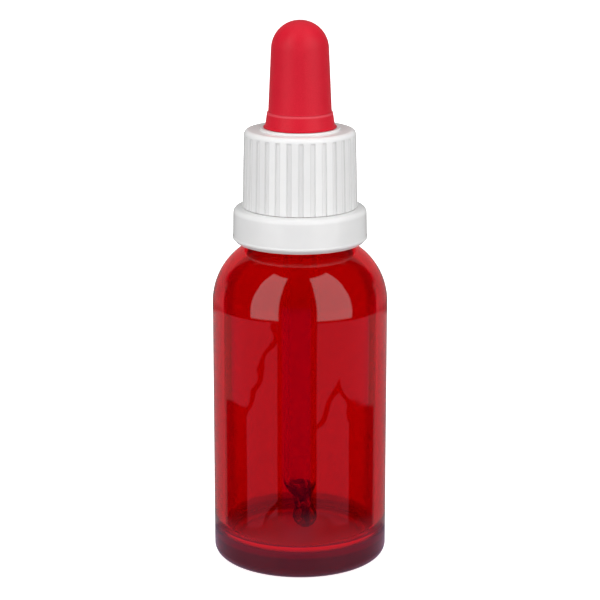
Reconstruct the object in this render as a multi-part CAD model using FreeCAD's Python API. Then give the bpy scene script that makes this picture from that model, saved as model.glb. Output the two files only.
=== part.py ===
import FreeCAD, Part
import math
import os

# A 30 ml dropper bottle with its screw-on pipette closure, in millimetres.
# The origin is the centre of the ring that the bottle stands on, +Z up, -Y the front.
# Every piece but the pipette's bent tip is turned about Z.

# --- driving dimensions -----------------------------------------------------

# bottle
body_r = 16.5
wall = 2.0
heel_r = 2.0
stand_in_r, stand_out_r = 12.8, 14.5  # the ring it stands on
punt_height = 0.9  # hollow under the base
floor_height = 4.2
floor_crown = 0.5  # the inner floor's rise at its middle
floor_corner_r = 3.5
shoulder_r = 12.4
shoulder_z = 50.0  # where the straight side ends
neck_r = 8.9
neck_blend_r = 1.0
bore_r = 5.9
bore_blend_r = 1.5
bottle_top = 79.0
lip_round = 0.6
bead_r, bead_low, bead_high = 10.2, 65.5, 67.3

# thread, one start
pitch = 3.0
thread_root_r, thread_crest_r = 7.95, 8.9
thread_crest_width = 1.1
thread_flank = 0.36  # run of a flank's half width per unit of depth
bottle_thread_z, bottle_thread_turns = 70.6, 1.6
cap_thread_root_r, cap_thread_crest_r = 9.25, 8.2
cap_thread_crest_width = 0.9
cap_thread_turns = 1.5
thread_seat = 0.25  # how deep a thread's root is sunk into its wall

# cap
cap_low, cap_top = 68.36, 82.8
cap_top_r, cap_low_r = 10.4, 10.76
cap_edge_round = 0.95
panel_low = 81.3
seat_low, seat_r = 79.4, 8.55  # the recess for the bulb's flange
hole_r = 6.45
rim_in_r, rim_out_r, rim_top = 6.7, 7.5, 83.15  # the raised bead around the hole
rib_count = 30
groove_depth, groove_floor, groove_mouth = 0.22, 0.8, 1.05
groove_low, groove_high = cap_low - 1.0, 82.05
groove_turn = 1.0  # degrees that the front groove stands off the front

# tamper ring
ring_low, ring_high = 61.7, 68.28
ring_top_r, ring_low_r = 12.46, 12.66
ring_edge_round = 1.0
ring_inner_r = 11.1
ring_hole_r = 9.9
ring_plate_low = 67.65
ring_step_z, ring_step = 62.7, 0.1
ring_chamfer = 0.7
pawl_count, pawl_gap_deg = 12, 8.0
pawl_tip_r, pawl_tip_z, pawl_thickness = 9.4, 65.0, 0.7
bridge_count = 10
bridge_width, bridge_in_r, bridge_out_r = 0.7, 9.95, 10.6
bridge_gap = 0.04  # left under the cap, where a bridge snaps

# bulb
flange_low, flange_high, flange_r = 79.05, 81.2, 8.3
groove_r = 6.3
lip_low, lip_high, lip_r = 83.2, 83.48, 6.85
collar_low_r, collar_high_r = 6.42, 6.12
collar_high = 86.0
dome_low_r, dome_corner_r = 5.88, 5.11  # the side leans in to where it would meet the top
dome_round = 5.33
bulb_top = 103.0
bulb_wall = 1.35
bulb_hole_r = 3.17
bulb_cavity_low = 85.2

# pipette
tube_r, tube_bore_r = 3.15, 2.15
tube_top = 86.7
bead_out = 0.3
taper_z = 14.6
waist_z, waist_r, waist_bore_r = 10.6, 1.72, 0.75
ball_z, ball_r, ball_offset = 7.3, 2.35, 0.94
tip_z, tip_bore_r = 5.1, 0.6


# --- helpers ----------------------------------------------------------------


def rounded_wire(corners):
    """A closed wire in the XZ plane through (r, z) corners, each with an optional rounding radius."""
    count = len(corners)
    starts, ends, middles = [], [], []
    for i, corner in enumerate(corners):
        p = FreeCAD.Vector(corner[0], 0, corner[1])
        radius = corner[2] if len(corner) > 2 else 0
        if not radius:
            starts.append(p)
            ends.append(p)
            middles.append(None)
            continue
        before, after = corners[i - 1], corners[(i + 1) % count]
        u = (FreeCAD.Vector(before[0], 0, before[1]) - p).normalize()
        v = (FreeCAD.Vector(after[0], 0, after[1]) - p).normalize()
        half = u.getAngle(v) / 2
        centre = p + (u + v).normalize() * (radius / math.sin(half))
        starts.append(p + u * (radius / math.tan(half)))
        ends.append(p + v * (radius / math.tan(half)))
        middles.append(centre + (p - centre).normalize() * radius)
    edges = []
    for i in range(count):
        if middles[i] is not None:
            edges.append(Part.Arc(starts[i], middles[i], ends[i]).toShape())
        following = starts[(i + 1) % count]
        if ends[i].distanceToPoint(following) > 1e-6:
            edges.append(Part.makeLine(ends[i], following))
    return Part.Wire(edges)


def turned(corners):
    """The solid turned about Z from a closed outline of (r, z) corners."""
    face = Part.Face(rounded_wire(corners))
    return face.revolve(FreeCAD.Vector(0, 0, 0), FreeCAD.Vector(0, 0, 1), 360)


def around(shape, count, first=0.0):
    """Copies of a shape, evenly spaced about Z."""
    copies = []
    for i in range(count):
        copy = shape.copy()
        copy.rotate(FreeCAD.Vector(0, 0, 0), FreeCAD.Vector(0, 0, 1), first + 360.0 * i / count)
        copies.append(copy)
    return copies


def shoulder(arc_r, arc_z, side_r, hole, blend):
    """The two corners of a round shoulder that meets a narrower upright wall in a hollow blend."""
    centre_r = side_r - arc_r
    across = hole + blend - centre_r
    rise = math.sqrt((arc_r + blend) ** 2 - across**2)
    half = math.atan2(rise, across) / 2
    return [
        (side_r, arc_z + arc_r * math.tan(half), arc_r),
        (hole, arc_z + rise - blend * math.tan(half), blend),
    ]


def thread(root_r, crest_r, crest_width, z, turns, first_turn):
    """A trapezoid ridge wound right-handed about Z, from its root to its crest."""
    outward = 1 if crest_r > root_r else -1
    sunk_r = root_r - outward * thread_seat
    half_crest = crest_width / 2
    half_root = half_crest + thread_flank * abs(crest_r - sunk_r)
    section = Part.makePolygon(
        [
            FreeCAD.Vector(sunk_r, 0, -half_root),
            FreeCAD.Vector(crest_r, 0, -half_crest),
            FreeCAD.Vector(crest_r, 0, half_crest),
            FreeCAD.Vector(sunk_r, 0, half_root),
            FreeCAD.Vector(sunk_r, 0, -half_root),
        ]
    )
    path = Part.Wire(Part.makeHelix(pitch, pitch * turns, root_r).Edges)
    ridge = path.makePipeShell([section], True, True)
    ridge.rotate(FreeCAD.Vector(0, 0, 0), FreeCAD.Vector(0, 0, 1), first_turn * 360.0)
    ridge.translate(FreeCAD.Vector(0, 0, z))
    return ridge


# --- the pieces -------------------------------------------------------------


def glass_bottle():
    """Body, shoulder, neck with its bead and thread, and the thick hollowed base, in one glass wall."""
    inner_r = body_r - wall
    outside = [
        (0, punt_height),
        (stand_in_r - 0.9, punt_height * 0.6, 1.0),
        (stand_in_r, 0, 0.3),
        (stand_out_r, 0),
        (body_r, 0, heel_r - 0.001),
        *shoulder(shoulder_r, shoulder_z, body_r, neck_r, neck_blend_r),
        (neck_r, bead_low - 0.4, 0.3),
        (bead_r, bead_low, 0.5),
        (bead_r, bead_high, 0.5),
        (thread_root_r, bead_high + 1.1, 0.5),
        (thread_root_r, bottle_top, lip_round),
    ]
    inside = [
        (bore_r, bottle_top, lip_round),
        *reversed(shoulder(shoulder_r - wall, shoulder_z, inner_r, bore_r, bore_blend_r)),
        (inner_r, floor_height, floor_corner_r),
        (0, floor_height + floor_crown),
    ]
    ridge = thread(
        thread_root_r, thread_crest_r, thread_crest_width, bottle_thread_z, bottle_thread_turns, 0.0
    )
    return turned(outside + inside).fuse(ridge).removeSplitter()


def grip_groove():
    """The cutter of one groove between two ribs, leaning with the cap's draft."""
    lean = (cap_low_r - cap_top_r) / (cap_top - cap_low)
    beyond = 0.6  # how far the cutter stands out past the wall
    half_floor = groove_floor / 2
    half_mouth = half_floor + (groove_mouth - groove_floor) / 2 * (groove_depth + beyond) / groove_depth

    def section(z):
        floor = cap_low_r - lean * (z - cap_low) - groove_depth
        edge = floor + groove_depth + beyond
        corners = [(floor, -half_floor), (edge, -half_mouth), (edge, half_mouth), (floor, half_floor)]
        return Part.makePolygon([FreeCAD.Vector(x, y, z) for x, y in corners + corners[:1]])

    return Part.makeLoft([section(groove_low), section(groove_high)], True, True)


def screw_cap():
    """A ribbed collar with an internal thread, a recess for the bulb's flange and a bevelled hole."""
    collar = turned(
        [
            (cap_low_r, cap_low, 0.12),
            (cap_top_r, cap_top, cap_edge_round),
            (rim_out_r, cap_top, 0.1),
            (rim_out_r - 0.1, rim_top, 0.15),
            (rim_in_r, rim_top, 0.2),
            (hole_r, cap_top, 0.2),
            (hole_r, panel_low),
            (seat_r, panel_low, 0.2),
            (seat_r, seat_low),
            (cap_thread_root_r, seat_low - 0.5),
            (cap_thread_root_r, cap_low + 0.4),
            (cap_thread_root_r + 0.35, cap_low),
        ]
    )
    grooves = around(grip_groove(), rib_count, -90.0 + groove_turn)
    ridge = thread(
        cap_thread_root_r,
        cap_thread_crest_r,
        cap_thread_crest_width,
        bottle_thread_z + pitch / 2,
        cap_thread_turns,
        0.0,
    )
    return collar.fuse(ridge).cut(Part.makeCompound(grooves)).removeSplitter()


def tamper_ring():
    """The ring left on the neck: an outer band, a top plate with snapped bridges, and pawls inside."""
    band = turned(
        [
            (ring_inner_r, ring_low + 0.5),
            (ring_inner_r + 0.5, ring_low),
            (ring_low_r - ring_chamfer, ring_low, 0.2),
            (ring_low_r - 0.02, ring_low + ring_chamfer, 0.3),
            (ring_low_r, ring_step_z, 0.03),
            (ring_low_r - ring_step, ring_step_z + 0.12),
            (ring_top_r, ring_high - 0.3, ring_edge_round),
            (cap_low_r + 0.25, ring_high, 0.15),
            (ring_hole_r, ring_high),
            (ring_hole_r, ring_plate_low),
            (ring_inner_r, ring_plate_low, 0.3),
        ]
    )
    skirt = turned(
        [
            (ring_inner_r + 0.3, ring_low + 0.9),
            (ring_inner_r + 0.3, ring_low + 0.9 + pawl_thickness),
            (pawl_tip_r + 0.35, pawl_tip_z),
            (pawl_tip_r, pawl_tip_z - 0.2, 0.1),
            (ring_inner_r - 0.3, ring_low + 0.9),
        ]
    )
    slot_width = 2 * ring_inner_r * math.sin(math.radians(pawl_gap_deg / 2))
    slot = Part.makeBox(ring_inner_r, slot_width, ring_high - ring_low, FreeCAD.Vector(0, -slot_width / 2, ring_low))
    slot = slot.common(Part.makeCylinder(ring_inner_r, ring_high, FreeCAD.Vector(0, 0, 0)))
    pawls = skirt.cut(Part.makeCompound(around(slot, pawl_count)))
    bridge_height = cap_low - bridge_gap - ring_high
    bridge = Part.makeBox(
        bridge_out_r - bridge_in_r,
        bridge_width,
        bridge_height + 0.1,
        FreeCAD.Vector(bridge_in_r, -bridge_width / 2, ring_high - 0.1),
    )
    return band.fuse([pawls] + around(bridge, bridge_count)).removeSplitter()


def rubber_bulb():
    """A hollow rubber bulb: sealing flange, groove for the cap's hole, collar and domed grip."""
    outside = [
        (bulb_hole_r, flange_low),
        (flange_r, flange_low, 0.3),
        (flange_r, flange_high, 0.3),
        (groove_r, flange_high, 0.15),
        (groove_r, lip_low, 0.15),
        (lip_r, lip_low, 0.08),
        (lip_r - 0.05, lip_high - 0.1, 0.08),
        (collar_low_r + 0.05, lip_high, 0.2),
        (collar_high_r, collar_high, 0.15),
        (dome_low_r, collar_high + 0.3, 0.15),
        (dome_corner_r, bulb_top, dome_round),
        (0, bulb_top),
    ]
    cavity_top = bulb_top - bulb_wall - 0.2
    cavity_r = dome_corner_r - bulb_wall
    inside = [
        (0, cavity_top),
        (cavity_r, cavity_top, cavity_r - 0.05),
        (dome_low_r - bulb_wall, bulb_cavity_low + 1.0, 0.8),
        (bulb_hole_r, bulb_cavity_low),
    ]
    return turned(outside + inside)


def swept_rounds(rounds):
    """A solid of revolution-like sections, level circles (x, z, r) joined smoothly."""
    wires = []
    for x, z, r in rounds:
        circle = Part.makeCircle(r, FreeCAD.Vector(x, 0, z), FreeCAD.Vector(0, 0, 1))
        wires.append(Part.Wire([circle]))
    return Part.makeLoft(wires, True, False)


def tip_offset(z):
    """How far the tip's centre line has bent aside, from none at the taper to the ball."""
    share = min(1.0, max(0.0, (taper_z - z) / (taper_z - ball_z)))
    return ball_offset * share * share * (3 - 2 * share)


def glass_pipette():
    """A straight tube with a rounded top bead, drawn down to a narrow waist and a ball tip."""
    tube = turned(
        [
            (tube_bore_r, taper_z),
            (tube_r, taper_z),
            (tube_r, tube_top - 1.1, 0.4),
            (tube_r + bead_out, tube_top - 0.6, 0.3),
            (tube_r + bead_out * 0.6, tube_top, 0.25),
            (tube_bore_r, tube_top, 0.25),
        ]
    )
    outer = [(0.0, taper_z, tube_r), (0.0, taper_z - 0.4, tube_r)]
    for z, r in [(13.3, 2.86), (12.0, 2.15), (waist_z, waist_r), (9.7, 1.85)]:
        outer.append((tip_offset(z), z, r))
    for step in (35, 12, -12, -35, -55):
        z = ball_z + ball_r * math.sin(math.radians(step))
        outer.append((tip_offset(z), z, ball_r * math.cos(math.radians(step))))
    outer.append((ball_offset, tip_z, 1.0))
    bore = [(0.0, taper_z, tube_bore_r), (0.0, taper_z - 0.4, tube_bore_r)]
    for z, r in [(13.0, 1.75), (11.8, 1.1), (waist_z, waist_bore_r), (ball_z, tip_bore_r), (tip_z, tip_bore_r)]:
        bore.append((tip_offset(z), z, r))
    return tube.fuse(swept_rounds(outer).cut(swept_rounds(bore))).removeSplitter()


pieces = {
    "glass_bottle": glass_bottle,
    "screw_cap": screw_cap,
    "tamper_ring": tamper_ring,
    "rubber_bulb": rubber_bulb,
    "glass_pipette": glass_pipette,
}

os.makedirs("parts", exist_ok=True)
for name, make in pieces.items():
    shape = make()
    solids = shape.Solids
    solid = solids[0] if len(solids) == 1 else Part.makeCompound(solids)
    solid.exportStep("parts/" + name + ".step")
    box = solid.BoundBox
    print(name, len(solids), "solid", solid.isValid(), "volume %.1f" % solid.Volume,
          "z %.2f to %.2f" % (box.ZMin, box.ZMax), "x %.2f to %.2f" % (box.XMin, box.XMax))
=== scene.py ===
import math

import bmesh
import bpy
import numpy as np
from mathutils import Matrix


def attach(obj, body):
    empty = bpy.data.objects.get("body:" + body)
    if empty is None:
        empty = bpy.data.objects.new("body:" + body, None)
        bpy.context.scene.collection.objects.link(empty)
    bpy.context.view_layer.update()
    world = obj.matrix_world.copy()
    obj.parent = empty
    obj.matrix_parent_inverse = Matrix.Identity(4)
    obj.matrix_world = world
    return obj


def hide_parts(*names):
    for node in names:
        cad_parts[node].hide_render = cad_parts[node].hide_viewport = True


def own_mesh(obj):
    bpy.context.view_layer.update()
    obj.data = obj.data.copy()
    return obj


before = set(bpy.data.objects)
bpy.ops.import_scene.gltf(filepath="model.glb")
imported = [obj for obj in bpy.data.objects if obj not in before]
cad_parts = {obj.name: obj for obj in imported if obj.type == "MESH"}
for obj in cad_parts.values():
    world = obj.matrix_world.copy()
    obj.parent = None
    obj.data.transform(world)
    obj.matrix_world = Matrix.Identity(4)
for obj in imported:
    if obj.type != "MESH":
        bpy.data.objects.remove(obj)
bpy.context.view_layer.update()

MM = 0.001
TURN = 2 * math.pi

# --- the object's dimensions, in millimetres, as in the CAD -----------------

body_r, wall, heel_r = 16.5, 2.0, 2.0
stand_in_r, stand_out_r, punt_height = 12.8, 14.5, 0.9
floor_height, floor_crown, floor_corner_r = 4.2, 0.5, 3.5
shoulder_r, shoulder_z = 12.4, 50.0
neck_r, neck_blend_r, bore_r, bore_blend_r = 8.9, 1.0, 5.9, 1.5
bottle_top, lip_round = 79.0, 0.6
bead_r, bead_low, bead_high = 10.2, 65.5, 67.3

pitch = 3.0
thread_root_r, thread_crest_r, thread_crest_width = 7.95, 8.9, 1.1
cap_thread_root_r, cap_thread_crest_r, cap_thread_crest_width = 9.25, 8.2, 0.9
thread_flank = 0.36
bottle_thread_z, bottle_thread_turns, cap_thread_turns = 70.6, 1.6, 1.5

cap_low, cap_top, cap_top_r, cap_low_r = 68.36, 82.8, 10.4, 10.76
cap_edge_round, panel_low, seat_low, seat_r = 0.95, 81.3, 79.4, 8.55
hole_r, rim_in_r, rim_out_r, rim_top = 6.45, 6.7, 7.5, 83.15
rib_count, groove_depth, groove_floor, groove_mouth = 30, 0.22, 0.8, 1.05
groove_high, groove_turn, groove_fade, groove_steepness = 82.05, 1.0, 0.35, 9.0

ring_low, ring_high, ring_top_r, ring_low_r = 61.7, 68.28, 12.46, 12.66
ring_edge_round, ring_inner_r, ring_hole_r, ring_plate_low = 1.0, 11.1, 9.9, 67.65
ring_step_z, ring_step, ring_chamfer = 62.7, 0.1, 0.7
pawl_count, pawl_gap_deg = 12, 8.0
pawl_tip_r, pawl_tip_z, pawl_thickness = 9.4, 65.0, 0.7
bridge_count, bridge_width, bridge_in_r, bridge_out_r = 10, 0.7, 9.95, 10.6
bridge_gap = 0.04

flange_low, flange_high, flange_r, groove_r = 79.05, 81.2, 8.3, 6.3
lip_low, lip_high, lip_r = 83.2, 83.48, 6.85
collar_low_r, collar_high_r, collar_high = 6.42, 6.12, 86.0
dome_low_r, dome_corner_r, dome_round, bulb_top, bulb_wall = 5.88, 5.11, 5.33, 103.0, 1.35
seam_z = collar_high + 0.04
bulb_hole_r = 3.17

tube_r, tube_bore_r, tube_top, bead_out = 3.15, 2.15, 86.7, 0.3
taper_z, waist_z, waist_r, waist_bore_r = 14.6, 10.6, 1.72, 0.75
ball_z, ball_r, ball_offset = 7.3, 2.35, 0.94
tip_z, tip_bore_r, tip_face_r = 5.1, 0.6, 1.0

# --- how finely the pieces are divided: steps round the axis, and row heights in millimetres

bottle_segments, ring_segments, bulb_segments, pipette_segments = 288, 256, 192, 128
thread_row, bulb_row = 0.14, 0.8


# --- mesh helpers -----------------------------------------------------------


def rounded(corners, closed=True, step_deg=9.0):
    """The outline through (r, z) corners, each with an optional rounding radius, as points."""
    count = len(corners)
    points = []
    for i, corner in enumerate(corners):
        p = np.array(corner[:2], float)
        radius = corner[2] if len(corner) > 2 else 0
        if not radius or (not closed and i in (0, count - 1)):
            points.append(p)
            continue
        u = np.array(corners[i - 1][:2], float) - p
        v = np.array(corners[(i + 1) % count][:2], float) - p
        u /= np.linalg.norm(u)
        v /= np.linalg.norm(v)
        half = math.acos(np.clip(u @ v, -1, 1)) / 2
        middle = (u + v) / np.linalg.norm(u + v)
        centre = p + middle * radius / math.sin(half)
        a = p + u * radius / math.tan(half) - centre
        b = p + v * radius / math.tan(half) - centre
        start = math.atan2(a[1], a[0])
        sweep = (math.atan2(b[1], b[0]) - start + math.pi) % TURN - math.pi
        steps = max(2, math.ceil(abs(math.degrees(sweep)) / step_deg))
        for s in range(steps + 1):
            angle = start + sweep * s / steps
            points.append(centre + radius * np.array([math.cos(angle), math.sin(angle)]))
    return points


def divided(points, longest):
    """Points with every run longer than that split into even shorter ones."""
    out = []
    for a, b in zip(points, points[1:]):
        steps = max(1, math.ceil(np.linalg.norm(b - a) / longest))
        out += [a + (b - a) * s / steps for s in range(steps)]
    return out + [points[-1]]


def held(points, longest=6.0, near=0.2):
    """Points with a short step at each end of a long run, so its shading stays flat up to the corner."""
    out = []
    for a, b in zip(points, points[1:]):
        length = np.linalg.norm(b - a)
        out.append(a)
        if length > 5 * near:
            step = (b - a) * near / length
            out += divided([a + step, b - step], longest)
    return out + [points[-1]]


def shoulder(arc_r, arc_z, side_r, hole, blend):
    """The two corners of a round shoulder that meets a narrower upright wall in a hollow blend."""
    centre_r = side_r - arc_r
    across = hole + blend - centre_r
    rise = math.sqrt((arc_r + blend) ** 2 - across**2)
    half = math.atan2(rise, across) / 2
    return [
        (side_r, arc_z + arc_r * math.tan(half), arc_r),
        (hole, arc_z + rise - blend * math.tan(half), blend),
    ]


def new_mesh(name, vertices, faces, smooth=True):
    """A mesh object from vertices in millimetres, shaded smooth or flat."""
    mesh = bpy.data.meshes.new(name)
    mesh.from_pydata([tuple(v) for v in np.asarray(vertices) * MM], [], faces)
    mesh.validate()
    mesh.update()
    mesh.polygons.foreach_set("use_smooth", [smooth] * len(mesh.polygons))
    obj = bpy.data.objects.new(name, mesh)
    bpy.context.scene.collection.objects.link(obj)
    return obj


def lathe(name, points, turn, radius_at=None, centre_at=None, closed=True):
    """A solid turned about Z from outline points, through a number of even steps or at given angles;
    radius_at(angle, r, z, row) and centre_at(z) reshape it."""
    vertices, rings = [], []
    angles = TURN * np.arange(turn) / turn if isinstance(turn, int) else turn
    segments = len(angles)
    for row, (r, z) in enumerate(points):
        cx = centre_at(z) if centre_at else 0.0
        if r < 1e-6:
            rings.append([len(vertices)])
            vertices.append((cx, 0.0, z))
            continue
        rings.append(range(len(vertices), len(vertices) + segments))
        radii = radius_at(angles, r, z, row) if radius_at else np.full(segments, r)
        for angle, radius in zip(angles, radii):
            vertices.append((cx + radius * math.cos(angle), radius * math.sin(angle), z))
    faces = []
    pairs = list(zip(rings, rings[1:]))
    if closed and not (len(rings[0]) == 1 and len(rings[-1]) == 1):
        pairs.append((rings[-1], rings[0]))
    for low, high in pairs:
        for i in range(segments):
            j = (i + 1) % segments
            if len(low) == 1 and len(high) == 1:
                break
            if len(low) == 1:
                faces.append((low[0], high[j], high[i]))
            elif len(high) == 1:
                faces.append((low[i], low[j], high[0]))
            else:
                faces.append((low[i], low[j], high[j], high[i]))
    return new_mesh(name, vertices, faces)


def smooth_step(x):
    x = np.clip(x, 0.0, 1.0)
    return x * x * (3 - 2 * x)


def thread_height(angles, z, start, turns, crest_width, depth):
    """How far a right-handed ridge stands out of its wall at each angle, from 0 to depth."""
    flank = thread_flank * depth
    height = np.zeros(len(angles))
    for lap in range(-1, math.ceil(turns) + 1):
        along = angles / TURN + lap
        off = np.abs(z - start - pitch * along)
        ridge = np.clip((crest_width / 2 + flank - off) / flank, 0, 1)
        ends = smooth_step(along / 0.06) * smooth_step((turns - along) / 0.06)
        height = np.maximum(height, depth * ridge * ends)
    return height


def turned_faces_out(obj):
    """Flips the mesh if its volume comes out negative, so its normals point out."""
    mesh = obj.data
    mesh.calc_loop_triangles()
    co = np.array([v.co for v in mesh.vertices])
    tri = np.array([t.vertices for t in mesh.loop_triangles])
    volume = np.einsum("ij,ij->i", co[tri[:, 0]], np.cross(co[tri[:, 1]], co[tri[:, 2]])).sum()
    if volume < 0:
        mesh.flip_normals()
    return obj


# --- the pieces -------------------------------------------------------------


def make_bottle():
    inner_r = body_r - wall
    outside = rounded(
        [
            (0, punt_height),
            (stand_in_r - 0.9, punt_height * 0.6, 1.0),
            (stand_in_r, 0, 0.3),
            (stand_out_r, 0),
            (body_r, 0, heel_r - 0.001),
            *shoulder(shoulder_r, shoulder_z, body_r, neck_r, neck_blend_r),
            (neck_r, bead_low - 0.4, 0.3),
            (bead_r, bead_low, 0.5),
            (bead_r, bead_high, 0.5),
            (thread_root_r, bead_high + 1.1, 0.5),
            (thread_root_r, bottle_top, lip_round),
            (bore_r, bottle_top),
        ],
        closed=False,
        step_deg=3.0,
    )[:-1]
    inside = rounded(
        [
            (thread_root_r, bottle_top),
            (bore_r, bottle_top, lip_round),
            *reversed(shoulder(shoulder_r - wall, shoulder_z, inner_r, bore_r, bore_blend_r)),
            (inner_r, floor_height, floor_corner_r),
            (0, floor_height + floor_crown),
        ],
        closed=False,
        step_deg=3.0,
    )[1:]
    thread_zone = bead_high + 1.2
    below = [p for p in outside if p[1] < thread_zone]
    above = [p for p in outside if p[1] >= thread_zone]
    outside = held(below) + divided(above, thread_row)
    outer_rows = len(outside)

    def radius_at(angles, r, z, row):
        radii = np.full(len(angles), float(r))
        if row < outer_rows and thread_zone < z < bottle_top - 1.0:
            depth = thread_crest_r - thread_root_r
            radii += thread_height(
                angles, z, bottle_thread_z, bottle_thread_turns, thread_crest_width, depth
            )
        return radii

    return lathe("bottle_glass", outside + held(inside), bottle_segments, radius_at)


def make_cap():
    collar = rounded(
        [
            (cap_low_r, cap_low, 0.12),
            (cap_top_r, cap_top, cap_edge_round),
            (rim_out_r, cap_top, 0.1),
            (rim_out_r - 0.1, rim_top, 0.15),
            (rim_in_r, rim_top, 0.2),
            (hole_r, cap_top, 0.2),
            (hole_r, panel_low),
            (seat_r, panel_low, 0.2),
            (seat_r, seat_low),
            (cap_thread_root_r, seat_low - 0.5),
            (cap_thread_root_r, cap_low + 0.4),
            (cap_thread_root_r + 0.35, cap_low),
        ],
        step_deg=12.0,
    )
    points = divided(collar + collar[:1], thread_row + 0.02)[:-1]
    lean = (cap_low_r - cap_top_r) / (cap_top - cap_low)
    floor_half, mouth_half = groove_floor / 2 / cap_low_r, groove_mouth / 2 / cap_low_r
    spacing = TURN / rib_count
    # Stations across half a rib: 0 groove's middle, 1 edge of its floor, 2 its mouth, 3 crest's middle.
    steps = np.array([0, 0.5, 0.9, 1, 1.08, 1.5, 1.92, 2, 2.1, 2.5, 3.0])
    reach = np.interp(steps, [0, 1, 2, 3], [0, floor_half, mouth_half, spacing / 2])
    groove_angle = math.radians(-90.0 + groove_turn)
    one_rib = np.concatenate([-reach[:0:-1], reach[:-1]])
    angles = (groove_angle + spacing * np.arange(rib_count)[:, None] + one_rib[None, :]).ravel()

    def radius_at(angles, r, z, row):
        radii = np.full(len(angles), float(r))
        crest = cap_low_r - lean * (z - cap_low)
        if r > cap_thread_root_r + 0.5 and z > cap_low - 0.01:
            off = np.abs((angles - groove_angle + spacing / 2) % spacing - spacing / 2)
            share = np.clip((mouth_half - off) / (mouth_half - floor_half), 0, 1)
            cut = share * smooth_step((groove_high - z) / groove_fade)
            radii = np.minimum(radii, crest - groove_depth * cut + (1 - cut) * groove_steepness)
        if abs(r - cap_thread_root_r) < 1e-3:
            depth = cap_thread_root_r - cap_thread_crest_r
            radii -= thread_height(
                angles, z, bottle_thread_z + pitch / 2, cap_thread_turns, cap_thread_crest_width, depth
            )
        return radii

    return lathe("cap_ribbed", points, angles, radius_at)


def make_ring():
    band = rounded(
        [
            (ring_inner_r, ring_low + 0.5),
            (ring_inner_r + 0.5, ring_low),
            (ring_low_r - ring_chamfer, ring_low, 0.2),
            (ring_low_r - 0.02, ring_low + ring_chamfer, 0.3),
            (ring_low_r, ring_step_z, 0.03),
            (ring_low_r - ring_step, ring_step_z + 0.12),
            (ring_top_r, ring_high - 0.3, ring_edge_round),
            (cap_low_r + 0.25, ring_high, 0.15),
            (ring_hole_r, ring_high),
            (ring_hole_r, ring_plate_low),
            (ring_inner_r, ring_plate_low, 0.3),
        ],
        step_deg=8.0,
    )
    points = held(band + band[:1], longest=1.5, near=0.12)[:-1]
    return lathe("ring_band", points, ring_segments)


def make_pawls():
    """The folded inner skirt, cut into pawls by slots."""
    root_z = ring_low + 0.9
    outline = [
        (ring_inner_r + 0.1, root_z),
        (ring_inner_r + 0.1, root_z + pawl_thickness),
        (pawl_tip_r + 0.35, pawl_tip_z),
        (pawl_tip_r, pawl_tip_z - 0.2),
        (ring_inner_r - 0.3, root_z),
    ]
    vertices, faces = [], []
    steps = 8
    pawl = TURN / pawl_count
    gap = math.radians(pawl_gap_deg)
    for k in range(pawl_count):
        base = len(vertices)
        for s in range(steps + 1):
            angle = k * pawl + gap / 2 + (pawl - gap) * s / steps
            vertices += [(r * math.cos(angle), r * math.sin(angle), z) for r, z in outline]
        n = len(outline)
        for s in range(steps):
            for i in range(n):
                a, b = base + s * n + i, base + s * n + (i + 1) % n
                faces.append((a, b, b + n, a + n))
        faces.append(tuple(base + i for i in reversed(range(n))))
        faces.append(tuple(base + steps * n + i for i in range(n)))
    return new_mesh("ring_pawls", vertices, faces, smooth=False)


def make_bridges():
    """The snapped ends of the thin bridges on the ring's top, drawn in at the top."""
    vertices, faces = [], []
    low, high = ring_high - 0.05, cap_low - bridge_gap
    for k in range(bridge_count):
        angle = TURN * k / bridge_count
        ex = np.array([math.cos(angle), math.sin(angle), 0])
        ey = np.array([-math.sin(angle), math.cos(angle), 0])
        base = len(vertices)
        for z, shrink in ((low, 1.0), (high, 0.75)):
            half = bridge_width / 2 * shrink
            for r, y in (
                (bridge_in_r, -half),
                (bridge_out_r, -half),
                (bridge_out_r, half),
                (bridge_in_r, half),
            ):
                vertices.append(ex * r + ey * y + np.array([0, 0, z]))
        faces += [tuple(base + i for i in f) for f in ((3, 2, 1, 0), (4, 5, 6, 7))]
        faces += [(base + i, base + (i + 1) % 4, base + (i + 1) % 4 + 4, base + i + 4) for i in range(4)]
    return new_mesh("ring_bridges", vertices, faces, smooth=False)


def make_bulb_collar():
    """The still part of the bulb: flange, groove, lip and collar, up to the seam under the dome."""
    points = rounded(
        [
            (bulb_hole_r, flange_low),
            (flange_r, flange_low, 0.3),
            (flange_r, flange_high, 0.3),
            (groove_r, flange_high, 0.15),
            (groove_r, lip_low, 0.15),
            (lip_r, lip_low, 0.08),
            (lip_r - 0.05, lip_high - 0.1, 0.08),
            (collar_low_r + 0.05, lip_high, 0.2),
            (collar_high_r, collar_high, 0.15),
            (dome_low_r - 0.25, collar_high + 0.16),
            (bulb_hole_r, collar_high),
        ],
        step_deg=10.0,
    )
    return lathe("bulb_collar", divided(points + points[:1], bulb_row)[:-1], bulb_segments)


def make_bulb_dome():
    """The part that is squeezed: a hollow tapered dome, open below at the seam."""
    cavity_top = bulb_top - bulb_wall - 0.2
    cavity_r = dome_corner_r - bulb_wall
    outside = rounded(
        [
            (dome_low_r + 0.12, seam_z),
            (dome_low_r, collar_high + 0.35, 0.1),
            (dome_corner_r, bulb_top, dome_round),
            (0, bulb_top),
        ],
        closed=False,
        step_deg=4.0,
    )
    inside = rounded(
        [
            (0, cavity_top),
            (cavity_r, cavity_top, cavity_r - 0.05),
            (dome_low_r - bulb_wall, seam_z),
        ],
        closed=False,
        step_deg=6.0,
    )
    points = divided(outside, bulb_row) + divided(inside, bulb_row)
    return lathe("bulb_dome", points, bulb_segments)


def tip_offset(z):
    """How far the tip's centre line has bent aside, from none at the taper to the ball."""
    return float(ball_offset * smooth_step((taper_z - z) / (taper_z - ball_z)))


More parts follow.
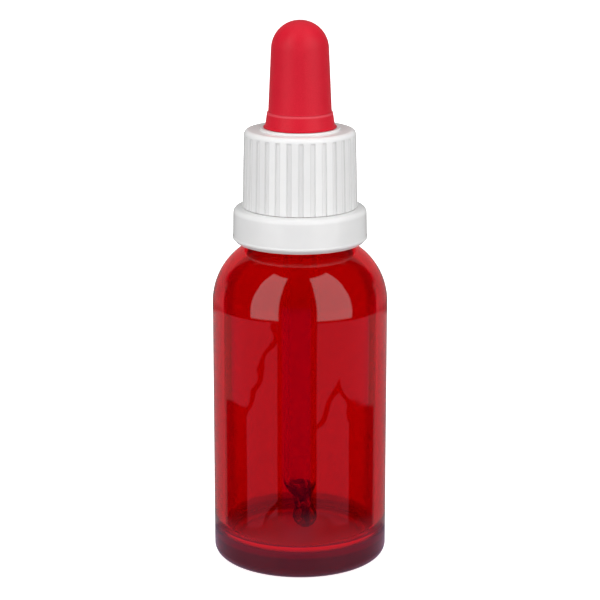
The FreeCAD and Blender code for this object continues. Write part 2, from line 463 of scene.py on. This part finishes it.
def make_pipette():
    """The drawn glass tube: bore, rounded top bead, waist and ball tip on a slightly bent centre line."""
    ball = [
        (ball_r * math.cos(math.radians(a)), ball_z + ball_r * math.sin(math.radians(a)))
        for a in range(-60, 41, 6)
    ]
    ball_high_r, ball_high = ball[-1]
    neck = [
        (ball_high_r + (waist_r - ball_high_r) * smooth_step(s * 1.05), ball_high + (waist_z - ball_high) * s)
        for s in np.linspace(0.1, 0.9, 8)
    ]
    taper = [
        (waist_r + (tube_r - waist_r) * smooth_step(s), waist_z + (taper_z - 0.3 - waist_z) * s)
        for s in np.linspace(0, 1, 24)
    ]
    top = rounded(
        [
            (tube_r, taper_z),
            (tube_r, tube_top - 1.1, 0.4),
            (tube_r + bead_out, tube_top - 0.6, 0.3),
            (tube_r + bead_out * 0.6, tube_top, 0.25),
            (tube_bore_r, tube_top, 0.25),
            (tube_bore_r, taper_z),
        ],
        closed=False,
        step_deg=15.0,
    )
    bore_top = taper_z - 0.2
    bore_taper = [
        (tube_bore_r + (waist_bore_r - tube_bore_r) * smooth_step(s), bore_top + (waist_z - bore_top) * s)
        for s in np.linspace(0, 1, 24)
    ]
    bore_tip = [
        (waist_bore_r + (tip_bore_r - waist_bore_r) * s, waist_z + (tip_z - waist_z) * s)
        for s in np.linspace(0.05, 1, 10)
    ]
    outline = [(tip_face_r, tip_z), *ball, *neck, *taper, *top, *bore_taper, *bore_tip]
    points = divided([np.array(p) for p in outline], 1.5)
    return lathe("pipette_glass", points, pipette_segments, centre_at=tip_offset)


# --- materials --------------------------------------------------------------


class Nodes:
    """Short calls for building a node tree."""

    def __init__(self, tree):
        self.tree = tree
        self.links = tree.links

    def add(self, kind, **values):
        node = self.tree.nodes.new(kind)
        for key, value in values.items():
            setattr(node, key, value)
        return node

    def put(self, value, socket):
        if isinstance(value, bpy.types.NodeSocket):
            self.links.new(value, socket)
        else:
            socket.default_value = value

    def math(self, operation, *values):
        node = self.add("ShaderNodeMath", operation=operation)
        for value, socket in zip(values, node.inputs):
            self.put(value, socket)
        return node.outputs[0]

    def ramp(self, value, low, high, to_low=0.0, to_high=1.0):
        node = self.add("ShaderNodeMapRange", interpolation_type="SMOOTHSTEP", clamp=True)
        self.put(value, node.inputs["Value"])
        self.put(low, node.inputs["From Min"])
        self.put(high, node.inputs["From Max"])
        self.put(to_low, node.inputs["To Min"])
        self.put(to_high, node.inputs["To Max"])
        return node.outputs["Result"]

    def below(self, value, low, high):
        """One where a length is under low and zero where it is over high, both in millimetres."""
        return self.ramp(value, low * MM, high * MM, 1.0, 0.0)

    def above(self, value, low, high):
        return self.ramp(value, low * MM, high * MM)

    def times(self, a, b):
        return self.math("MULTIPLY", a, b)

    def axes(self, vector):
        node = self.add("ShaderNodeSeparateXYZ")
        self.put(vector, node.inputs[0])
        return node.outputs[0], node.outputs[1], node.outputs[2]

    def noise(self, vector, scale, detail):
        node = self.add("ShaderNodeTexNoise")
        self.put(vector, node.inputs["Vector"])
        node.inputs["Scale"].default_value = scale
        node.inputs["Detail"].default_value = detail
        return node.outputs["Fac"]

    def mix(self, share, a, b):
        node = self.add("ShaderNodeMix", data_type="RGBA")
        self.put(share, node.inputs["Factor"])
        self.put(a, node.inputs[6])
        self.put(b, node.inputs[7])
        return node.outputs[2]


def new_material(name):
    material = bpy.data.materials.new(name)
    material.use_nodes = True
    nodes = Nodes(material.node_tree)
    shader = material.node_tree.nodes["Principled BSDF"]
    place = nodes.add("ShaderNodeTexCoord").outputs["Object"]
    return material, nodes, shader, place


def bump(nodes, height, strength, distance, shader):
    node = nodes.add("ShaderNodeBump")
    node.inputs["Strength"].default_value = strength
    node.inputs["Distance"].default_value = distance
    nodes.put(height, node.inputs["Height"])
    nodes.put(node.outputs["Normal"], shader.inputs["Normal"])


def red_glass():
    """Red glass: even through the walls, deeper at the rims and round the heel, hazy inside the base."""
    material, nodes, shader, place = new_material("red_glass")
    shader.inputs["Transmission Weight"].default_value = 1.0
    shader.inputs["IOR"].default_value = 1.5
    shader.inputs["Roughness"].default_value = 0.0
    x, y, z = nodes.axes(place)
    radius = nodes.math("SQRT", nodes.math("ADD", nodes.times(x, x), nodes.times(y, y)))
    outer = nodes.above(radius, 14.9, 15.6)
    colour = nodes.mix(nodes.noise(place, 60.0, 2.0), (0.475, 0.0, 0.004, 1), (0.5, 0.0, 0.006, 1))
    facing = nodes.add("ShaderNodeLayerWeight").outputs["Facing"]
    rim = nodes.times(nodes.ramp(facing, 0.44, 0.6), nodes.below(z, 57.2, 60.2))
    colour = nodes.mix(rim, colour, (0.19, 0.0, 0.004, 1))
    shoulder_top = nodes.above(z, 52.5, 60.0)
    colour = nodes.mix(shoulder_top, colour, (0.54, 0.0, 0.004, 1))
    base = nodes.below(z, 4.6, 5.6)
    colour = nodes.mix(base, colour, (0.66, 0.0, 0.004, 1))
    heel = nodes.times(nodes.below(z, 5.6, 6.5), outer)
    colour = nodes.mix(heel, colour, (0.15, 0.0, 0.006, 1))
    band = nodes.times(nodes.below(z, 4.0, 4.8), outer)
    colour = nodes.mix(band, colour, (0.045, 0.002, 0.006, 1))
    nodes.put(colour, shader.inputs["Base Color"])
    haze = nodes.math("SUBTRACT", 0.3, nodes.times(outer, 0.2))
    nodes.put(nodes.times(nodes.below(z, 4.4, 6.2), haze), shader.inputs["Roughness"])
    wave = nodes.times(nodes.noise(place, 110.0, 1.0), outer)
    bump(nodes, wave, 0.12, 0.0003, shader)
    return material


def clear_glass():
    """The pipette's clear glass, thick at the tip, where dark edges and streaks are painted as dark
    reflections of the surroundings seen through it.
    """
    material, nodes, shader, place = new_material("clear_glass")
    shader.inputs["Transmission Weight"].default_value = 1.0
    shader.inputs["IOR"].default_value = 1.5
    shader.inputs["Roughness"].default_value = 0.0
    cloud = nodes.noise(place, 200.0, 2.0)
    colour = nodes.mix(cloud, (0.95, 0.97, 0.98, 1), (0.98, 0.985, 0.99, 1))
    tip = nodes.below(nodes.axes(place)[2], 13.6, 14.2)
    # painted reflection: the tip's edges and noise streaks are darkened to stand in for the dark surroundings
    # the ball shows
    painted_dark_edge = nodes.ramp(nodes.add("ShaderNodeLayerWeight").outputs["Facing"], 0.15, 0.5)
    streaks = nodes.ramp(nodes.noise(place, 420.0, 0.0), 0.47, 0.55, 0.0, 0.8)
    dark = nodes.math("MAXIMUM", painted_dark_edge, streaks)
    painted_dark_tip = nodes.mix(dark, (0.86, 0.86, 0.9, 1), (0.03, 0.02, 0.04, 1))
    nodes.put(nodes.mix(tip, colour, painted_dark_tip), shader.inputs["Base Color"])
    bump(nodes, nodes.times(nodes.noise(place, 500.0, 0.0), tip), 0.6, 0.0006, shader)
    return material


def painted_corner_shade(nodes, place):
    """One along the two inner corners of each grip groove, where shade is painted, and zero elsewhere."""
    x, y, z = nodes.axes(place)
    spacing = TURN / rib_count
    angle = nodes.math("ARCTAN2", y, x)
    start = math.radians(-90.0 + groove_turn) - spacing / 2
    off = nodes.math("WRAP", nodes.math("SUBTRACT", angle, start), spacing, 0.0)
    off = nodes.math("ABSOLUTE", nodes.math("SUBTRACT", off, spacing / 2))
    corner = (groove_floor + groove_mouth) / 4 / cap_low_r
    near = nodes.math("ABSOLUTE", nodes.math("SUBTRACT", off, corner))
    line = nodes.ramp(near, 0.004, 0.013, 1.0, 0.0)
    return nodes.times(line, nodes.below(z, groove_high - 0.6, groove_high))


def white_plastic(name, low, high, grooved=False):
    """Moulded white plastic between two brightnesses, with painted shade along the grip grooves' inner
    corners if it has them.
    """
    material, nodes, shader, place = new_material(name)
    shader.inputs["Roughness"].default_value = 0.1
    shader.inputs["IOR"].default_value = 1.49
    shader.inputs["Specular IOR Level"].default_value = 0.32
    shader.inputs["Subsurface Weight"].default_value = 0.2
    shader.inputs["Subsurface Radius"].default_value = (1.0, 0.95, 0.9)
    shader.inputs["Subsurface Scale"].default_value = 0.0006
    cloud = nodes.noise(place, 400.0, 3.0)
    colour = nodes.mix(cloud, (low, low, low * 0.995, 1), (high, high, high * 0.995, 1))
    if grooved:
        # painted shade: the grooves' inner corners are darkened as if less light reached them
        painted_groove_shade = nodes.times(painted_corner_shade(nodes, place), 0.4)
        colour = nodes.mix(painted_groove_shade, colour, (0.66, 0.66, 0.65, 1))
    nodes.put(colour, shader.inputs["Base Color"])
    bump(nodes, nodes.noise(place, 1500.0, 2.0), 0.03, 0.00004, shader)
    return material


def red_rubber():
    """Matt red rubber with a fine grain, and a paler painted highlight along the edge of the collar's ledge.
    """
    material, nodes, shader, place = new_material("red_rubber")
    shader.inputs["IOR"].default_value = 1.5
    shader.inputs["Specular IOR Level"].default_value = 0.2
    fine = nodes.noise(place, 5000.0, 2.0)
    cloud = nodes.noise(place, 250.0, 3.0)
    grain = nodes.math("ADD", nodes.times(cloud, 0.4), nodes.times(fine, 0.6))
    colour = nodes.mix(grain, (0.58, 0.006, 0.02, 1), (0.78, 0.014, 0.038, 1))
    # painted highlight: a paler line along the collar ledge's rounded edge, where the softboxes glint
    height = nodes.math("SUBTRACT", nodes.axes(place)[2], collar_high * MM)
    ledge_highlight_mask = nodes.times(nodes.above(height, -0.4, -0.2), nodes.below(height, 0.1, 0.2))
    painted_ledge_highlight = nodes.mix(nodes.times(ledge_highlight_mask, 0.4), colour, (0.9, 0.14, 0.18, 1))
    nodes.put(painted_ledge_highlight, shader.inputs["Base Color"])
    nodes.put(nodes.ramp(cloud, 0.2, 0.8, 0.36, 0.46), shader.inputs["Roughness"])
    bump(nodes, fine, 0.4, 0.00006, shader)
    return material


def dress(obj, body, slot, material, *replaced):
    """Gives a piece its material and body, and hides the CAD parts it stands for; slot is not used."""
    obj.data.materials.clear()
    obj.data.materials.append(material)
    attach(obj, body)
    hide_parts(*replaced)
    return obj


# --- studio -----------------------------------------------------------------


def seen_by(obj, *kinds):
    """Shows a studio piece only to these kinds of light ray."""
    for kind in ("camera", "diffuse", "glossy", "transmission", "shadow"):
        setattr(obj, "visible_" + kind, kind in kinds)


def make_floor():
    """A pale floor in two layers a hair apart: the one seen, and a plainer one that bounces light up."""
    size = 30.0
    corners = [(-size, -size, 0), (size, -size, 0), (size, size, 0), (-size, size, 0)]
    for name, shade, glow, drop, kinds in (
        ("floor", 0.86, 0.85, 0.0002, ("camera", "transmission")),
        ("floor_bounce", 0.42, 0.0, 0.0003, ("diffuse",)),
    ):
        mesh = bpy.data.meshes.new(name)
        mesh.from_pydata(corners, [], [(0, 1, 2, 3)])
        floor = bpy.data.objects.new(name, mesh)
        bpy.context.scene.collection.objects.link(floor)
        floor.location.z = -drop
        material, nodes, shader, place = new_material("pale_" + name)
        shader.inputs["Roughness"].default_value = 0.9
        low, high = shade - 0.02, shade + 0.02
        cloud = nodes.mix(nodes.noise(place, 3.0, 2.0), (low, low, low, 1), (high, high, high, 1))
        nodes.put(cloud, shader.inputs["Base Color"])
        shader.inputs["Emission Color"].default_value = (1, 1, 1, 1)
        shader.inputs["Emission Strength"].default_value = glow
        mesh.materials.append(material)
        seen_by(floor, *kinds)


def make_backdrop():
    """A big pale shell seen directly and through glass, dark on the camera's side above the floor."""
    mesh = bpy.data.meshes.new("backdrop")
    shape = bmesh.new()
    bmesh.ops.create_uvsphere(shape, u_segments=48, v_segments=24, radius=24.0)
    shape.to_mesh(mesh)
    shape.free()
    backdrop = bpy.data.objects.new("backdrop", mesh)
    bpy.context.scene.collection.objects.link(backdrop)
    material, nodes, shader, place = new_material("backdrop")
    x, y, z = nodes.axes(place)
    cloud = nodes.noise(place, 0.1, 2.0)
    nodes.put(nodes.mix(cloud, (0.0, 0.0, 0.0, 1), (0.01, 0.01, 0.01, 1)), shader.inputs["Base Color"])
    dark = nodes.times(nodes.ramp(y, -10.0, -4.0, 1.0, 0.0), nodes.ramp(z, -1.0, 1.0))
    shader.inputs["Emission Color"].default_value = (1, 1, 1, 1)
    nodes.put(nodes.ramp(dark, 0.0, 1.0, 1.15, 0.1), shader.inputs["Emission Strength"])
    shader.inputs["Specular IOR Level"].default_value = 0.0
    mesh.materials.append(material)
    seen_by(backdrop, "camera", "transmission")


def make_lamps():
    """Soft light on matt surfaces only, as a tent's roof, front and sides give it."""
    for name, watts, place, tilt_deg, turn_deg in (
        ("roof", 5.6, (0, 0.1, 1.2), 0.0, 0.0),
        ("front", 3.1, (0, -1.2, 0.35), 80.0, 0.0),
        ("left", 4.6, (-1.3, -0.1, 0.35), 80.0, -90.0),
        ("right", 3.8, (1.3, -0.1, 0.35), 80.0, 90.0),
    ):
        data = bpy.data.lights.new(name, "AREA")
        data.shape, data.size, data.size_y = "RECTANGLE", 1.2, 1.2
        data.energy = watts
        lamp = bpy.data.objects.new(name, data)
        lamp.location = place
        lamp.rotation_euler = (math.radians(tilt_deg), 0, math.radians(turn_deg))
        bpy.context.scene.collection.objects.link(lamp)
        seen_by(lamp, "diffuse")


def make_world():
    """What the glass and the gloss mirror: two softboxes, cards behind, and the table's own pale patches.

    Directions are in degrees: az to the right of the front, and el above the horizon."""
    world = bpy.data.worlds.new("studio")
    bpy.context.scene.world = world
    world.use_nodes = True
    tree = world.node_tree
    nodes = Nodes(tree)
    direction = nodes.add("ShaderNodeTexCoord").outputs["Generated"]
    x, y, z = nodes.axes(direction)
    az = nodes.times(nodes.math("ARCTAN2", x, nodes.times(y, -1.0)), 180 / math.pi)
    el = nodes.times(nodes.math("ARCSINE", z), 180 / math.pi)
    side = nodes.math("ABSOLUTE", az)

    def within(value, low, high, soft):
        rise = nodes.ramp(value, low - soft, low + soft)
        fall = nodes.ramp(value, high - soft, high + soft, 1.0, 0.0)
        return nodes.times(rise, fall)

    def patch(az_low, az_high, el_low, el_high, power, soft=1.5, el_soft=None, about=az):
        across = within(about, az_low, az_high, soft)
        up = within(el, el_low, el_high, el_soft or soft)
        return nodes.times(nodes.times(across, up), power)

    def line(az_mid, el_mid, slope, fold, thickness):
        """Zero along a thin streak and one elsewhere: its el falls by slope per degree of az from its
        middle, on both sides if fold."""
        away = nodes.math("SUBTRACT", az, az_mid)
        if fold:
            away = nodes.math("ABSOLUTE", away)
        centre = nodes.math("SUBTRACT", el_mid, nodes.times(away, slope))
        gap = nodes.math("ABSOLUTE", nodes.math("SUBTRACT", el, centre))
        return nodes.ramp(gap, thickness * 0.6, thickness * 1.2)

    softboxes = nodes.math("ADD", patch(-67, -28, -12, 60.5, 2.1), patch(22, 71, -12, 61.5, 2.1))
    cards = [
        patch(119, 181, -14, 10, 0.24, 3.0, 4.0, side),
        patch(133, 181, 10, 48, 0.24, 3.0, 5.0, side),
        patch(117, 181, 48, 68, 0.26, 3.0, 5.0, side),
        patch(102, 181, -17.4, -14.9, 0.26, 1.5, 0.1, side),
        patch(115, 181, -20.6, -17.4, 0.26, 1.5, 0.1, side),
    ]
    # The table is given in strips of el, because the patches narrow towards its near edge.
    table = [
        patch(-102, -30, -17.4, -14.9, 1.0, 1.0, 0.1),
        patch(22, 103, -17.4, -14.9, 1.0, 1.0, 0.1),
        patch(-75, -30, -20.6, -17.4, 1.0, 1.0, 0.1),
        patch(22, 68, -20.6, -17.4, 1.0, 1.0, 0.1),
    ]

    haze = nodes.ramp(el, -20.2, -21.2)
    bloom = patch(-24, 14, -20.6, 10, 1.0, 2.0)

    def total(parts):
        value = 0.0
        for one in parts:
            value = nodes.math("ADD", value, one)
        return value

    streaks = nodes.times(line(-31, -15.4, -0.051, False, 0.24), line(53, -17.0, 0.036, True, 0.17))
    low = nodes.times(total(table), streaks)
    white = nodes.math("ADD", softboxes, total(cards))
    faint = 0.006
    # Red, green and blue shares of the table's patches, the haze and the bloom.
    tints = ((1.3, 0.45, 0.0), (0.21, 0.34, 0.0), (0.32, 0.48, 0.1))
    join = nodes.add("ShaderNodeCombineXYZ")
    for tint, socket in zip(tints, join.inputs):
        shares = [nodes.times(part, share) for part, share in zip((low, haze, bloom), tint)]
        nodes.put(total([white, faint, *shares]), socket)
    ground = tree.nodes["Background"]
    nodes.put(join.outputs[0], ground.inputs["Color"])
    ground.inputs["Strength"].default_value = 1.0


def make_camera():
    """The view of the object from the front and a little above."""
    look_down_deg = 14.6
    data = bpy.data.cameras.new("camera")
    data.lens = 127.6
    data.sensor_width = 36.0
    camera = bpy.data.objects.new("camera", data)
    camera.location = (0.0, -0.389, 0.1514)
    camera.rotation_euler = (math.radians(90 - look_down_deg), 0, 0)
    bpy.context.scene.collection.objects.link(camera)
    bpy.context.scene.camera = camera


# --- the scene --------------------------------------------------------------

glass, pipette_clear, rubber = red_glass(), clear_glass(), red_rubber()
cap_plastic = white_plastic("white_plastic", 0.85, 0.88, grooved=True)
ring_plastic = white_plastic("white_plastic_ring", 0.82, 0.85)
dress(turned_faces_out(make_bottle()), "bottle", "red_glass", glass, "glass_bottle")
dress(turned_faces_out(make_cap()), "cap", "white_plastic", cap_plastic, "screw_cap")
for part in (make_ring, make_pawls, make_bridges):
    dress(turned_faces_out(part()), "ring", "white_plastic", ring_plastic, "tamper_ring")
dress(turned_faces_out(make_pipette()), "cap", "clear_glass", pipette_clear, "glass_pipette")
dress(turned_faces_out(make_bulb_collar()), "cap", "red_rubber", rubber, "rubber_bulb")
dome = dress(turned_faces_out(make_bulb_dome()), "bulb", "red_rubber", rubber, "rubber_bulb")
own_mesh(dome)

make_floor()
make_backdrop()
make_lamps()
make_world()
make_camera()
bpy.context.scene.view_settings.view_transform = "Standard"
bounces = bpy.context.scene.cycles
bounces.max_bounces, bounces.transmission_bounces, bounces.glossy_bounces = 24, 24, 12
